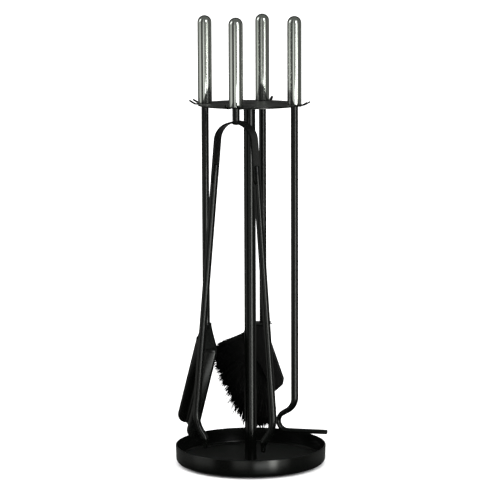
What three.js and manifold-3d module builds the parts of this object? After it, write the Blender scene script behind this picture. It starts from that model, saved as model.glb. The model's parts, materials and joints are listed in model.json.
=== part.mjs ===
// Fireplace tool set: a round tray with a post and a slotted plate, and four tools
// (tongs, poker, brush, shovel) that hang in the plate by their steel handles.
//
// Millimetres, +Z up. The post stands on X = Y = 0, and the felt rests on Z = 0.
// Inside the group `set`, heights are counted from the underside of the steel tray.

import * as THREE from 'three';
import { mergeVertices } from 'three/addons/utils/BufferGeometryUtils.js';
import Module from 'manifold-3d';

const wasm = await Module();
wasm.setup();

// ---------------------------------------------------------------- driving dimensions

const GAP = 0.3; // clearance between two pieces that touch
const DEG = Math.PI / 180;

const FELT = { radius: 90, thickness: 2, pocketRadius: 9.2, pocketDepth: 1.5 };
const TRAY = { radius: 103, height: 24, sheet: 2, corner: 6, draft: 2, hole: 3.5 };
const POST = { radius: 8, wall: 1.5, plugLength: 25, plugRecess: 1.5, threadRadius: 3.3 };
const BOLT = { radius: 3, headRadius: 8.5, headThickness: 1.1, length: 20, socket: 2.2, socketDepth: 0.8 };
const PLATE = { radius: 69.3, sheet: 2, top: 491 };
const SLOT = { reach: 62.7, halfWidth: 6.5 };
const FINGER = { offset: 8.3, width: 3.6, root: 60, bendStart: 72.5, bendRadius: 6, bend: 30, tip: 8 };

const HANDLE = { radius: 9.6, wall: 1.5, length: 118, insertLength: 20 };
const ROD = { radius: 5, spigotRadius: 4, spigotLength: 14 };

const TONGS = {
  yaw: -1, // turned a little from the plate's slot
  lean: 0.6, // the spring hangs slightly off the stem's line
  archRadius: 25.6,
  crown: 473, // top of the strip
  splay: 4.4,
  sheet: 2.5,
  width: 27,
  legLength: 57.5,
  slotLength: 24.5, // how far each arm straddles its leg
  armTop: 414.5,
  clawStart: 78,
  rivetRadius: 5,
  rivetDome: 2,
  rivetShank: 9, // above the crown
};
const CLAW = { turnIn: 37.4, turnInRadius: 45, run: 7, turnDown: 33, turnDownRadius: 14, tip: 5, taper: 3 };

const POKER = {
  bendStart: 91.5,
  prongTurn: 59, // the rod leans out first
  prongRadius: 21,
  prongRun: 7.5,
  hookTurn: 150, // then bends back under itself
  hookRadius: 13,
  reach: 55,
  forged: 3.3,
  tip: 3.1,
};

const SHOVEL = {
  yaw: 205, // the way the pan faces
  neckTop: 189,
  rodEnd: 177,
  shoulderEnd: 160,
  neckHalfWidth: 7.1,
  neckWall: 9,
  backHalfWidth: 50,
  frontHalfWidth: 52,
  wall: 13,
  sheet: 1.8,
  corner: 2.5,
  neckTurn: 6,
  slope: 14.1, // of the floor, out from upright
  run: 116,
  frontCorner: 12,
};

const BRUSH = {
  yaw: 14,
  rodEnd: 182,
  capThickness: 2,
  capLeft: -23,
  capRight: 10.5,
  depth: 30,
  rootDepth: 13, // half the tuft's depth at the block
  tipDepth: 20, // and at its fanned ends
  pinRadius: 0.9,
  pinLength: 2.2,
  screw: { x: 12, z: 116, radius: 2.2, thickness: 1.4 },
};

const SIDES = { tray: 80, plate: 96, tube: 36, handle: 32, rod: 16, screw: 24 };

// ---------------------------------------------------------------- materials

function finish(color, roughness, metalness) {
  return new THREE.MeshStandardMaterial({ color, roughness, metalness });
}

const BLACK_COAT = finish(0x1b1c1b, 0.45, 0.1);
const STAINLESS = finish(0xb4b5b1, 0.3, 1);
const ZINC = finish(0x8d8f90, 0.4, 1);
const BLACK_PLASTIC = finish(0x151515, 0.55, 0);
const BRISTLE = finish(0x0d0d0d, 0.75, 0);
const BLACK_FELT = finish(0x161616, 0.95, 0);

// ---------------------------------------------------------------- mesh tools

/** Six times the volume that a merged, indexed geometry encloses; negative when inside out. */
function signedVolume(position, index) {
  const corners = [new THREE.Vector3(), new THREE.Vector3(), new THREE.Vector3()];
  let total = 0;
  for (let i = 0; i < index.length; i += 3) {
    corners.forEach((corner, k) => corner.fromBufferAttribute(position, index[i + k]));
    total += corners[0].dot(corners[1].clone().cross(corners[2]));
  }
  return total;
}

/** One closed skin: shared corners merged, collapsed triangles dropped, faces turned outward. */
function closedSkin(geometry) {
  const bare = geometry.clone();
  bare.deleteAttribute('normal');
  bare.deleteAttribute('uv');
  const merged = mergeVertices(bare, 1e-4);
  const index = [];
  for (let i = 0; i < merged.index.count; i += 3) {
    const [a, b, c] = [0, 1, 2].map((k) => merged.index.getX(i + k));
    if (a !== b && b !== c && c !== a) index.push(a, b, c);
  }
  if (signedVolume(merged.attributes.position, index) < 0) index.reverse();
  merged.setIndex(index);
  merged.computeVertexNormals();
  return merged;
}

/** A solid that can be joined and cut. */
function solid(geometry) {
  const skin = closedSkin(geometry);
  return new wasm.Manifold(new wasm.Mesh({
    numProp: 3,
    vertProperties: new Float32Array(skin.attributes.position.array),
    triVerts: new Uint32Array(skin.index.array),
  }));
}

/** The three.js geometry of a joined or cut solid. */
function skinOf(manifold) {
  const mesh = manifold.getMesh();
  const geometry = new THREE.BufferGeometry();
  geometry.setAttribute('position', new THREE.BufferAttribute(new Float32Array(mesh.vertProperties), 3));
  geometry.setIndex(new THREE.BufferAttribute(new Uint32Array(mesh.triVerts), 1));
  return geometry;
}

/** Turns a profile of [radius, height] points about +Z. */
function turned(profile, sides) {
  const points = profile.map(([radius, height]) => new THREE.Vector2(Math.max(radius, 0), height));
  return new THREE.LatheGeometry(points, sides).rotateX(Math.PI / 2);
}

/** Turns a ring profile, which closes on itself away from the axis. */
function turnedRing(profile, sides) {
  return turned([...profile, profile[0]], sides);
}

/** Points [radius, height] on an arc, from one angle to another in degrees. */
function arc(radius, height, r, from, to, steps) {
  return Array.from({ length: steps + 1 }, (_, i) => {
    const angle = (from + ((to - from) * i) / steps) * DEG;
    return [radius + r * Math.cos(angle), height + r * Math.sin(angle)];
  });
}

/** A plain tube or ring. */
function ring(inner, outer, bottom, top, sides) {
  return turnedRing([[inner, bottom], [outer, bottom], [outer, top], [inner, top]], sides);
}

/** A plain cylinder, standing on `bottom`. */
function cylinder(radius, bottom, top, sides) {
  return turned([[0, bottom], [radius, bottom], [radius, top], [0, top]], sides);
}

/** Extrudes an outline drawn in X and Z, equally to both sides of Y = 0. */
function slab(shape, width, curveSegments = 8) {
  const options = { depth: width, bevelEnabled: false, curveSegments };
  const geometry = new THREE.ExtrudeGeometry(shape, options);
  return geometry.rotateX(Math.PI / 2).translate(0, width / 2, 0);
}

/** Extrudes an outline drawn in X and Y, from one height to another. */
function prism(shape, bottom, top, curveSegments = 12) {
  const options = { depth: top - bottom, bevelEnabled: false, curveSegments };
  const geometry = new THREE.ExtrudeGeometry(shape, options);
  return geometry.translate(0, 0, bottom);
}

/** An outline with rounded corners, from [x, y, radius] points in order. */
function roundedOutline(corners) {
  const shape = new THREE.Shape();
  corners.forEach(([x, y, radius], i) => {
    const corner = new THREE.Vector2(x, y);
    const before = new THREE.Vector2(...corners.at(i - 1)).sub(corner).normalize();
    const after = new THREE.Vector2(...corners[(i + 1) % corners.length]).sub(corner).normalize();
    const half = Math.acos(THREE.MathUtils.clamp(before.dot(after), -1, 1)) / 2;
    const start = corner.clone().addScaledVector(before, radius / Math.tan(half));
    const end = corner.clone().addScaledVector(after, radius / Math.tan(half));
    if (i === 0) shape.moveTo(start.x, start.y);
    else shape.lineTo(start.x, start.y);
    if (radius > 0) {
      const bisector = before.clone().add(after).normalize();
      const centre = corner.clone().addScaledVector(bisector, radius / Math.sin(half));
      const from = start.clone().sub(centre).angle();
      const to = end.clone().sub(centre).angle();
      shape.absarc(centre.x, centre.y, radius, from, to, before.cross(after) > 0);
    }
  });
  shape.closePath();
  return shape;
}

/**
 * Walks a flat path of straight runs and bends, as a bar is bent.
 * Headings are degrees counter-clockwise from +X; a positive turn is counter-clockwise.
 */
function walk(start, heading, steps, bendStep = 12) {
  const stations = [{ x: start[0], z: start[1], heading }];
  let { x, z } = stations[0];
  for (const { run = 0, turn = 0, radius = 0 } of steps) {
    const side = Math.sign(turn);
    const count = turn === 0 ? 1 : Math.ceil(Math.abs(turn) / bendStep);
    for (let i = 0; i < count; i += 1) {
      const part = turn / count;
      const chord = turn === 0 ? run : 2 * radius * Math.sin((Math.abs(part) / 2) * DEG);
      const direction = (heading + part / 2) * DEG;
      x += chord * Math.cos(direction);
      z += chord * Math.sin(direction);
      heading += side === 0 ? 0 : part;
      stations.push({ x, z, heading });
    }
  }
  return stations;
}

/** The outline of a strip of sheet whose middle follows a walked path. */
function stripOutline(stations, sheet) {
  const side = (sign) => stations.map(({ x, z, heading }) => new THREE.Vector2(
    x - sign * (sheet / 2) * Math.sin(heading * DEG),
    z + sign * (sheet / 2) * Math.cos(heading * DEG),
  ));
  return new THREE.Shape([...side(1), ...side(-1).reverse()]);
}

/** Skins a row of flat sections, each an outline and the matrix that places it. */
function loft(sections) {
  const count = sections[0].outline.length;
  const positions = [];
  for (const { outline, matrix } of sections) {
    for (const { x, y } of outline) {
      positions.push(...new THREE.Vector3(x, y, 0).applyMatrix4(matrix).toArray());
    }
  }
  const index = [];
  for (let s = 0; s + 1 < sections.length; s += 1) {
    for (let i = 0; i < count; i += 1) {
      const a = s * count + i;
      const b = s * count + ((i + 1) % count);
      index.push(a, b, b + count, a, b + count, a + count);
    }
  }
  const clockwise = THREE.ShapeUtils.isClockWise(sections[0].outline);
  const cap = (outline) => THREE.ShapeUtils.triangulateShape(outline, [])
    .map(([a, b, c]) => (clockwise ? [c, b, a] : [a, b, c]));
  const offset = (sections.length - 1) * count;
  for (const [a, b, c] of cap(sections[0].outline)) index.push(c, b, a);
  for (const [a, b, c] of cap(sections.at(-1).outline)) index.push(offset + a, offset + b, offset + c);
  const geometry = new THREE.BufferGeometry();
  geometry.setAttribute('position', new THREE.Float32BufferAttribute(positions, 3));
  geometry.setIndex(index);
  return geometry;
}

/** Places a section square to a walked path: its x lies in the path's plane, its y along Y. */
function squareTo({ x, z, heading }) {
  const tangent = new THREE.Vector3(Math.cos(heading * DEG), 0, Math.sin(heading * DEG));
  const across = new THREE.Vector3(0, 1, 0);
  const inPlane = across.clone().cross(tangent);
  return new THREE.Matrix4().makeBasis(inPlane, across, tangent).setPosition(x, 0, z);
}

/** An oval section: `a` in the path's plane, `b` across it. */
function oval(a, b, sides = SIDES.rod) {
  return Array.from({ length: sides }, (_, i) => {
    const angle = (2 * Math.PI * (i + 0.5)) / sides;
    return new THREE.Vector2(a * Math.cos(angle), b * Math.sin(angle));
  });
}

/** A bar along a walked path; `halfThickness` gives its size in the path's plane at each station. */
function bar(stations, halfThickness) {
  return loft(stations.map((station, i) => ({
    outline: oval(halfThickness(station, i), ROD.radius),
    matrix: squareTo(station),
  })));
}

function node(name, geometry, material) {
  const mesh = new THREE.Mesh(closedSkin(geometry), material);
  mesh.name = name;
  return mesh;
}

// ---------------------------------------------------------------- stand

/** Felt pad under the tray; a pocket in its top takes the bolt's head. */
function feltPad() {
  const pocketFloor = FELT.thickness - FELT.pocketDepth;
  return turned([
    [0, 0], [FELT.radius, 0], [FELT.radius, FELT.thickness],
    [FELT.pocketRadius, FELT.thickness], [FELT.pocketRadius, pocketFloor], [0, pocketFloor],
  ], SIDES.tray);
}

/** Pressed sheet tray: flat floor, rounded corner, wall with a little draft, rounded lip. */
function tray() {
  const { radius, height, sheet, corner, draft, hole } = TRAY;
  const lean = Math.tan(draft * DEG);
  const outerAt = (z) => radius - (height - z) * lean;
  const cornerX = outerAt(corner) - corner;
  return turnedRing([
    [hole, 0],
    ...arc(cornerX, corner, corner, -90, -draft, 6),
    ...arc(radius - sheet / 2, height - sheet / 2, sheet / 2, -draft, 180 - draft, 5),
    ...arc(cornerX, corner, corner - sheet, -draft, -90, 5),
    [hole, sheet],
  ], SIDES.tray);
}

/** A plug that holds the thread in one end of the post. */
function postPlug(bottom) {
  const outer = POST.radius - POST.wall - GAP;
  return ring(POST.threadRadius, outer, bottom, bottom + POST.plugLength, SIDES.screw);
}

/** Hexagonal driver socket, cut from `bottom` to `top`. */
function socket(bottom, top) {
  return solid(cylinder(BOLT.socket, bottom, top, 6));
}

/** Flat-headed bolt that comes up through the tray into the post. */
function baseBolt() {
  const headTop = -GAP;
  const headBottom = headTop - BOLT.headThickness;
  const body = turned([
    [0, headBottom], [BOLT.headRadius, headBottom], [BOLT.headRadius, headTop],
    [BOLT.radius, headTop], [BOLT.radius, BOLT.length], [0, BOLT.length],
  ], SIDES.screw);
  return skinOf(solid(body).subtract(socket(headBottom - 1, headBottom + BOLT.socketDepth)));
}

/** Countersunk screw, flush with the plate. */
function plateScrew() {
  const top = PLATE.top - 0.1;
  const body = turned([
    [0, PLATE.top - BOLT.length], [BOLT.radius, PLATE.top - BOLT.length],
    [BOLT.radius, top - BOLT.radius], [2 * BOLT.radius, top], [0, top],
  ], SIDES.screw);
  return skinOf(solid(body).subtract(socket(top - 2, top + 1)));
}

/** One upturned finger beside a slot, reaching out along +X. */
function finger(offset) {
  const { root, bendStart, bendRadius, bend, tip, width } = FINGER;
  const path = walk([root, PLATE.top - PLATE.sheet / 2], 0, [
    { run: bendStart - root }, { turn: bend, radius: bendRadius }, { run: tip },
  ], 8);
  const reach = path.at(-1).x;
  const plan = roundedOutline([
    [root - 1, -width / 2, 0], [reach, -width / 2, width / 2 - 0.1],
    [reach, width / 2, width / 2 - 0.1], [root - 1, width / 2, 0],
  ]);
  const rounded = solid(prism(plan, PLATE.top - 10, PLATE.top + 10, 5));
  const sheet = solid(slab(stripOutline(path, PLATE.sheet), width + 2));
  return solid(skinOf(sheet.intersect(rounded)).translate(0, offset, 0));
}

/** Round plate with four open slots, two fingers at each, and a countersunk middle hole. */
function plate() {
  const disc = new THREE.Shape().absarc(0, 0, PLATE.radius, 0, 2 * Math.PI);
  let body = solid(prism(disc, PLATE.top - PLATE.sheet, PLATE.top, SIDES.plate / 2));
  const gate = new THREE.Shape();
  gate.absarc(SLOT.reach, 0, SLOT.halfWidth, Math.PI / 2, (3 * Math.PI) / 2);
  gate.lineTo(PLATE.radius + 5, -SLOT.halfWidth);
  gate.lineTo(PLATE.radius + 5, SLOT.halfWidth);
  gate.closePath();
  for (let quarter = 0; quarter < 4; quarter += 1) {
    const turn = (geometry) => solid(geometry.rotateZ((quarter * Math.PI) / 2));
    for (const offset of [-FINGER.offset, FINGER.offset]) body = body.add(turn(skinOf(finger(offset))));
    body = body.subtract(turn(prism(gate, PLATE.top - 5, PLATE.top + 1)));
  }
  const bore = BOLT.radius + GAP;
  const sink = turned([
    [0, PLATE.top - 5], [bore, PLATE.top - 5], [bore, PLATE.top - BOLT.radius],
    [2 * BOLT.radius + GAP, PLATE.top], [2 * BOLT.radius + GAP, PLATE.top + 1], [0, PLATE.top + 1],
  ], SIDES.screw);
  return skinOf(body.subtract(solid(sink)));
}

function stand() {
  const group = new THREE.Group();
  const tubeBottom = TRAY.sheet + GAP;
  const tubeTop = PLATE.top - PLATE.sheet - GAP;
  const tube = ring(POST.radius - POST.wall, POST.radius, tubeBottom, tubeTop, SIDES.tube);
  group.add(
    node('base_tray', tray(), BLACK_COAT),
    node('base_bolt', baseBolt(), ZINC),
    node('post_plug_bottom', postPlug(tubeBottom), ZINC),
    node('post_tube', tube, BLACK_COAT),
    node('post_plug_top', postPlug(tubeTop - POST.plugLength - POST.plugRecess), ZINC),
    node('top_plate', plate(), BLACK_COAT),
    node('top_screw', plateScrew(), BLACK_COAT),
  );
  return group;
}

// ---------------------------------------------------------------- parts that all four tools share

/** Domed stainless tube, open at the bottom, which rests on the plate. */
function handle() {
  const { radius, wall, length } = HANDLE;
  const bottom = PLATE.top + GAP;
  const dome = bottom + length - radius;
  const lip = 0.5;
  return turned([
    ...arc(0, dome, radius, 90, 0, 8),
    [radius, bottom + lip], [radius - lip, bottom], [radius - wall, bottom],
    ...arc(0, dome, radius - wall, 0, 90, 6),
  ], SIDES.handle);
}

/** Threaded plug in the mouth of a handle. */
function handleInsert() {
  const bottom = PLATE.top + 2 * GAP;
  const outer = HANDLE.radius - HANDLE.wall - GAP;
  return ring(ROD.spigotRadius + GAP, outer, bottom, bottom + HANDLE.insertLength, SIDES.screw);
}

/** The turned-down end that screws into the handle, joined onto a rod's top. */
function withSpigot(rod) {
  const shoulder = PLATE.top + GAP;
  const spigot = cylinder(ROD.spigotRadius, shoulder - 2, shoulder + ROD.spigotLength, SIDES.rod);
  return skinOf(solid(rod).add(solid(spigot)));
}

/** A tool's group at its slot, with its handle in place. */
function tool(name, angle) {
  const group = new THREE.Group();
  group.position.set(SLOT.reach * Math.cos(angle * DEG), SLOT.reach * Math.sin(angle * DEG), 0);
  group.add(
    node(`${name}_handle`, handle(), STAINLESS),
    node(`${name}_handle_insert`, handleInsert(), ZINC),
  );
  return group;
}

// ---------------------------------------------------------------- poker

/** Rod with a forged end: it leans out, bends back under itself and ends in a straight prong. */
function pokerRod() {
  const top = PLATE.top + GAP;
  const path = walk([0, top], -90, [
    { run: top - POKER.bendStart },
    { turn: -POKER.prongTurn, radius: POKER.prongRadius },
    { run: POKER.prongRun },
    { turn: POKER.hookTurn, radius: POKER.hookRadius },
    { run: POKER.reach / 2 },
    { run: POKER.reach / 2 },
  ], 10);
  const bendFirst = path.findIndex(({ heading }) => heading !== -90);
  const bendLast = path.findLastIndex(({ heading }) => heading !== path.at(-1).heading);
  const half = (_, i) => {
    if (i < bendFirst) return ROD.radius;
    if (i > bendLast) return POKER.tip;
    return THREE.MathUtils.lerp(ROD.radius, POKER.forged, Math.min(1, (i - bendFirst) / 7));
  };
  return withSpigot(bar(path, half));
}

function poker() {
  const group = tool('poker', 0);
  group.add(node('poker_rod', pokerRod(), BLACK_COAT));
  return group;
}

// ---------------------------------------------------------------- shovel

/** The U-shaped section of the pan: x points into the pan, y runs across it. */
function panSection(halfWidth, wall, corner, sheet) {
  const inner = halfWidth - sheet;
  const right = [
    new THREE.Vector2(wall, inner),
    ...arc(corner, inner - corner, corner, 90, 180, 5).map(([x, y]) => new THREE.Vector2(x, y)),
  ];
  const outer = corner + sheet;
  const back = [
    ...arc(corner, halfWidth - outer, outer, 180, 90, 5).map(([x, y]) => new THREE.Vector2(x, y)),
    new THREE.Vector2(wall, halfWidth),
  ];
  const mirrored = (points) => points.map(({ x, y }) => new THREE.Vector2(x, -y)).reverse();
  return [...right, ...mirrored(right), ...mirrored(back), ...back].filter(
    (point, i, all) => point.distanceTo(all[(i + 1) % all.length]) > 1e-6,
  );
}

/** Pan folded from sheet: a neck around the rod, wide shoulders, a flat floor and two low walls. */
function shovelPan() {
  const path = walk([-ROD.radius - GAP, SHOVEL.neckTop], -90, [
    { run: 3.5 }, { run: 3.5 }, { turn: -SHOVEL.neckTurn, radius: 60 }, { run: 5 }, { run: 5 },
    { turn: SHOVEL.neckTurn + SHOVEL.slope, radius: 40 },
    ...Array.from({ length: 5 }, () => ({ run: (SHOVEL.run - SHOVEL.frontCorner) / 5 })),
    ...Array.from({ length: 5 }, (_, i) => {
      const along = (k) => SHOVEL.frontCorner * Math.sin((k * Math.PI) / 10);
      return { run: along(i + 1) - along(i) };
    }),
  ], 6);
  const shoulderTop = SHOVEL.neckTop - 3;
  const { shoulderEnd } = SHOVEL;
  const lip = path.at(-1).z;
  const frontRun = SHOVEL.frontCorner * Math.cos(SHOVEL.slope * DEG);
  return loft(path.map(({ x, z, heading }) => {
    const spread = THREE.MathUtils.clamp((shoulderTop - z) / (shoulderTop - shoulderEnd), 0, 1);
    const forward = THREE.MathUtils.clamp((shoulderEnd - z) / (shoulderEnd - lip), 0, 1);
    const back = THREE.MathUtils.lerp(SHOVEL.neckHalfWidth, SHOVEL.backHalfWidth, spread);
    const halfWidth = back + forward * (SHOVEL.frontHalfWidth - SHOVEL.backHalfWidth);
    const full = THREE.MathUtils.lerp(SHOVEL.neckWall, SHOVEL.wall, spread);
    const drop = THREE.MathUtils.clamp(1 - (z - lip) / frontRun, 0, 1);
    const low = SHOVEL.corner + SHOVEL.sheet + 0.2;
    const wall = low + (full + SHOVEL.sheet - low) * Math.sqrt(Math.max(0, 1 - drop * drop));
    const corner = THREE.MathUtils.lerp(ROD.radius, SHOVEL.corner, spread);
    return {
      outline: panSection(halfWidth, wall, corner, SHOVEL.sheet),
      matrix: new THREE.Matrix4().makeBasis(
        new THREE.Vector3(-Math.sin(heading * DEG), 0, Math.cos(heading * DEG)),
        new THREE.Vector3(0, 1, 0),
        new THREE.Vector3(-Math.cos(heading * DEG), 0, -Math.sin(heading * DEG)),
      ).setPosition(x, 0, z),
    };
  }));
}

function shovel() {
  const group = tool('shovel', 180);
  const rod = cylinder(ROD.radius, SHOVEL.rodEnd, PLATE.top + GAP, SIDES.rod);
  const pan = node('shovel_pan', shovelPan(), BLACK_COAT);
  pan.rotation.z = SHOVEL.yaw * DEG;
  group.add(node('shovel_rod', withSpigot(rod), BLACK_COAT), pan);
  return group;
}

// ---------------------------------------------------------------- tongs

/** Flat spring: an arch over two splayed legs, with a hole in the crown for the rivet. */
function springStrip() {
  const { splay, archRadius, legLength, crown, sheet, width } = TONGS;
  const foot = archRadius * Math.cos(splay * DEG) + legLength * Math.sin(splay * DEG);
  const archCentre = crown - sheet / 2 - archRadius;
  const footHeight = archCentre + archRadius * Math.sin(splay * DEG) - legLength * Math.cos(splay * DEG);
  const path = walk([-foot, footHeight], 90 - splay, [
    { run: legLength }, { turn: -(180 - 2 * splay), radius: archRadius }, { run: legLength },
  ], 8);
  const side = roundedOutline([
    [footHeight - 2, -width / 2, 7], [crown + 5, -width / 2, 0],
    [crown + 5, width / 2, 0], [footHeight - 2, width / 2, 7],
  ]);
  const mask = prism(side, -60, 60).rotateY(-Math.PI / 2);
  const hole = cylinder(BOLT.radius + GAP, crown - 8, crown + 3, SIDES.rod);
  const strip = solid(slab(stripOutline(path, sheet), width + 2));
  return skinOf(strip.intersect(solid(mask)).subtract(solid(hole)));
}

/** Stem between the handle and the spring, with a blind hole for the rivet. */
function tongsStem() {
  const bottom = TONGS.crown + GAP;
  const rod = cylinder(ROD.radius, bottom, PLATE.top + GAP, SIDES.rod);
  const hole = cylinder(BOLT.radius + GAP, bottom - 1, bottom + 10, SIDES.rod);
  return skinOf(solid(withSpigot(rod)).subtract(solid(hole)));
}

/** Domed rivet under the crown, with its shank up in the stem. */
function tongsRivet() {
  const inside = TONGS.archRadius - TONGS.sheet / 2;
  const sag = inside - Math.sqrt(inside ** 2 - TONGS.rivetRadius ** 2);
  const headTop = TONGS.crown - TONGS.sheet - sag - GAP;
  const shankTop = TONGS.crown + TONGS.rivetShank;
  const dome = arc(0, headTop, 1, -90, 0, 4).map(([x, z]) => [
    x * TONGS.rivetRadius, headTop + (z - headTop) * TONGS.rivetDome,
  ]);
  return turned([...dome, [BOLT.radius, headTop], [BOLT.radius, shankTop], [0, shankTop]], SIDES.screw);
}

/** The right arm: a rod sawn to straddle the spring's leg, and a claw bent in and down. */
function tongsArm() {
  const { splay, armTop, clawStart, archRadius, crown, sheet, slotLength } = TONGS;
  const archCentre = crown - sheet / 2 - archRadius;
  const legTopX = archRadius * Math.cos(splay * DEG);
  const legTopZ = archCentre + archRadius * Math.sin(splay * DEG);
  const topX = legTopX + (legTopZ - armTop) * Math.tan(splay * DEG);
  const path = walk([topX, armTop], -90 + splay, [
    { run: (armTop - clawStart) / Math.cos(splay * DEG) },
    { turn: -CLAW.turnIn, radius: CLAW.turnInRadius },
    { run: CLAW.run },
    { turn: CLAW.turnDown, radius: CLAW.turnDownRadius },
    { run: CLAW.tip },
    { run: CLAW.taper },
  ], 9);
  const last = path.length - 1;
  const rod = bar(path, (_, i) => (i === last ? ROD.radius - 1 : ROD.radius));
  const slit = new THREE.BoxGeometry(sheet + 2 * GAP, 4 * ROD.radius, 2 * slotLength);
  slit.rotateY(-splay * DEG).translate(topX, 0, armTop);
  return skinOf(solid(rod).subtract(solid(slit)));
}

function tongs() {
  const group = tool('tongs', -90);
  const turnedGroup = new THREE.Group();
  turnedGroup.rotation.z = TONGS.yaw * DEG;
  const hanging = new THREE.Group();
  hanging.position.z = TONGS.crown;
  hanging.rotation.y = TONGS.lean * DEG;
  const hung = (name, geometry) => {
    const mesh = node(name, geometry, BLACK_COAT);
    mesh.position.z = -TONGS.crown;
    return mesh;
  };
  hanging.add(
    hung('tongs_spring', springStrip()),
    hung('tongs_arm_right', tongsArm()),
    hung('tongs_arm_left', tongsArm().rotateZ(Math.PI)),
  );
  turnedGroup.add(hanging, node('tongs_rivet', tongsRivet(), BLACK_COAT));
  group.add(node('tongs_stem', tongsStem(), BLACK_COAT), turnedGroup);
  return group;
}

// ---------------------------------------------------------------- brush

/** Leaning wedge that holds the bristles; the cap sits on its level top. */
function brushBlock() {
  const top = BRUSH.rodEnd - BRUSH.capThickness - 2 * GAP;
  return slab(roundedOutline([
    [-24, top, 1.5], [8, top, 1.5], [8, 161, 10], [29.3, 98.5, 5],
    [16.5, 87, 2], [11.8, 94, 2], [-27, 168, 2],
  ]), BRUSH.depth, 4);
}

/** Fanned bundle of bristles, rooted along the block's underside. */
function bristles() {
  const roots = new THREE.LineCurve(new THREE.Vector2(-26.9, 167), new THREE.Vector2(11, 94.6));
  const tips = new THREE.SplineCurve([
    new THREE.Vector2(-64, 145), new THREE.Vector2(-65.5, 131), new THREE.Vector2(-58.5, 110),
    new THREE.Vector2(-46, 84), new THREE.Vector2(-33, 57), new THREE.Vector2(-19, 43),
    new THREE.Vector2(-3, 46), new THREE.Vector2(10, 52),
  ]);
  const rows = 12;
  const positions = [];
  for (let i = 0; i <= rows; i += 1) {
    const root = roots.getPoint(i / rows).add(new THREE.Vector2(-2 * GAP, -GAP));
    const tip = tips.getPoint(i / rows);
    positions.push(
      [root.x, -BRUSH.rootDepth, root.y], [root.x, BRUSH.rootDepth, root.y],
      [tip.x, BRUSH.tipDepth, tip.y], [tip.x, -BRUSH.tipDepth, tip.y],
    );
  }
  const index = [];
  for (let i = 0; i < rows; i += 1) {
    for (let k = 0; k < 4; k += 1) {
      const a = 4 * i + k;
      const b = 4 * i + ((k + 1) % 4);
      index.push(a, b, b + 4, a, b + 4, a + 4);
    }
  }
  const end = 4 * rows;
  index.push(0, 2, 1, 0, 3, 2, end, end + 1, end + 2, end, end + 2, end + 3);
  const geometry = new THREE.BufferGeometry();
  geometry.setAttribute('position', new THREE.Float32BufferAttribute(positions.flat(), 3));
  geometry.setIndex(index);
  return geometry;
}

function brush() {
  const group = tool('brush', 90);
  const rod = cylinder(ROD.radius, BRUSH.rodEnd, PLATE.top + GAP, SIDES.rod);
  const capTop = BRUSH.rodEnd - GAP;
  const capHeight = BRUSH.capThickness;
  const cap = new THREE.BoxGeometry(BRUSH.capRight - BRUSH.capLeft, BRUSH.depth - 2, capHeight);
  cap.translate((BRUSH.capLeft + BRUSH.capRight) / 2, 0, capTop - capHeight / 2);
  const pin = cylinder(BRUSH.pinRadius, 0, BRUSH.pinLength, 12).rotateY(Math.PI / 2);
  pin.translate(BRUSH.capRight + GAP, 0, capTop - capHeight / 2);
  const { screw } = BRUSH;
  const screwHead = cylinder(screw.radius, 0, screw.thickness, 16).rotateX(Math.PI / 2);
  screwHead.translate(screw.x, -BRUSH.depth / 2 - GAP, screw.z);
  const head = new THREE.Group();
  head.rotation.z = BRUSH.yaw * DEG;
  head.add(
    node('brush_cap', cap, BLACK_COAT),
    node('brush_cap_pin', pin, ZINC),
    node('brush_block', brushBlock(), BLACK_PLASTIC),
    node('brush_block_screw', screwHead, ZINC),
    node('brush_bristles', bristles(), BRISTLE),
  );
  group.add(node('brush_rod', withSpigot(rod), BLACK_COAT), head);
  return group;
}

// ---------------------------------------------------------------- the whole set

const set = new THREE.Group();
set.position.z = FELT.thickness + GAP;
set.add(stand(), tongs(), poker(), brush(), shovel());

const fireplaceToolSet = new THREE.Group();
fireplaceToolSet.add(node('base_felt', feltPad(), BLACK_FELT), set);

export default fireplaceToolSet;
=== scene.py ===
# %% [markdown]
# # A fireplace tool set
# The object is a round steel tray with a post, a slotted plate on top of the post, and four tools that
# hang in the slots by domed steel handles: tongs, a poker, a brush and a shovel.
# The imported CAD model gives every size and every joint. This lesson puts finished, smooth and detailed
# pieces over it, one body at a time. First comes the frame itself.

# %% Load the frame
import json
from math import ceil, cos, pi, radians, sin, sqrt, tan

import bmesh
import bpy
from mathutils import Matrix, Quaternion, Vector

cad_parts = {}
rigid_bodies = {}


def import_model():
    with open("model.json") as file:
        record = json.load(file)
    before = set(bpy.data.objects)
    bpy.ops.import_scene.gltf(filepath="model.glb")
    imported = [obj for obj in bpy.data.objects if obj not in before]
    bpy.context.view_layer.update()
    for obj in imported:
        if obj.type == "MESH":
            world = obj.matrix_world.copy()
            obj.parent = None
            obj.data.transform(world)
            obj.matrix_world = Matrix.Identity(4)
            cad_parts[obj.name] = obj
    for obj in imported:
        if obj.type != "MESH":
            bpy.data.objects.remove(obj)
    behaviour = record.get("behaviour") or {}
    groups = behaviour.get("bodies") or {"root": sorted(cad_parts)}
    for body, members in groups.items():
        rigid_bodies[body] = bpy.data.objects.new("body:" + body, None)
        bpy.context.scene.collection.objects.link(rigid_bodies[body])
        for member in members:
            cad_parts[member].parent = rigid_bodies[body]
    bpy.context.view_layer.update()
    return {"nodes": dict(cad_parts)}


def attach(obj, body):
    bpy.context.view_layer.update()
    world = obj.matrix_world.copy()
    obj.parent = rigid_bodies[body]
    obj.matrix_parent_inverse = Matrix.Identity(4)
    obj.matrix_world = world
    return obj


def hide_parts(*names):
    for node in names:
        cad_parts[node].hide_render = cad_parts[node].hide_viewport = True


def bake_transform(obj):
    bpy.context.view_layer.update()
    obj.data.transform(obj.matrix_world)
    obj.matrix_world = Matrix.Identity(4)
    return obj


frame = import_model()

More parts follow.
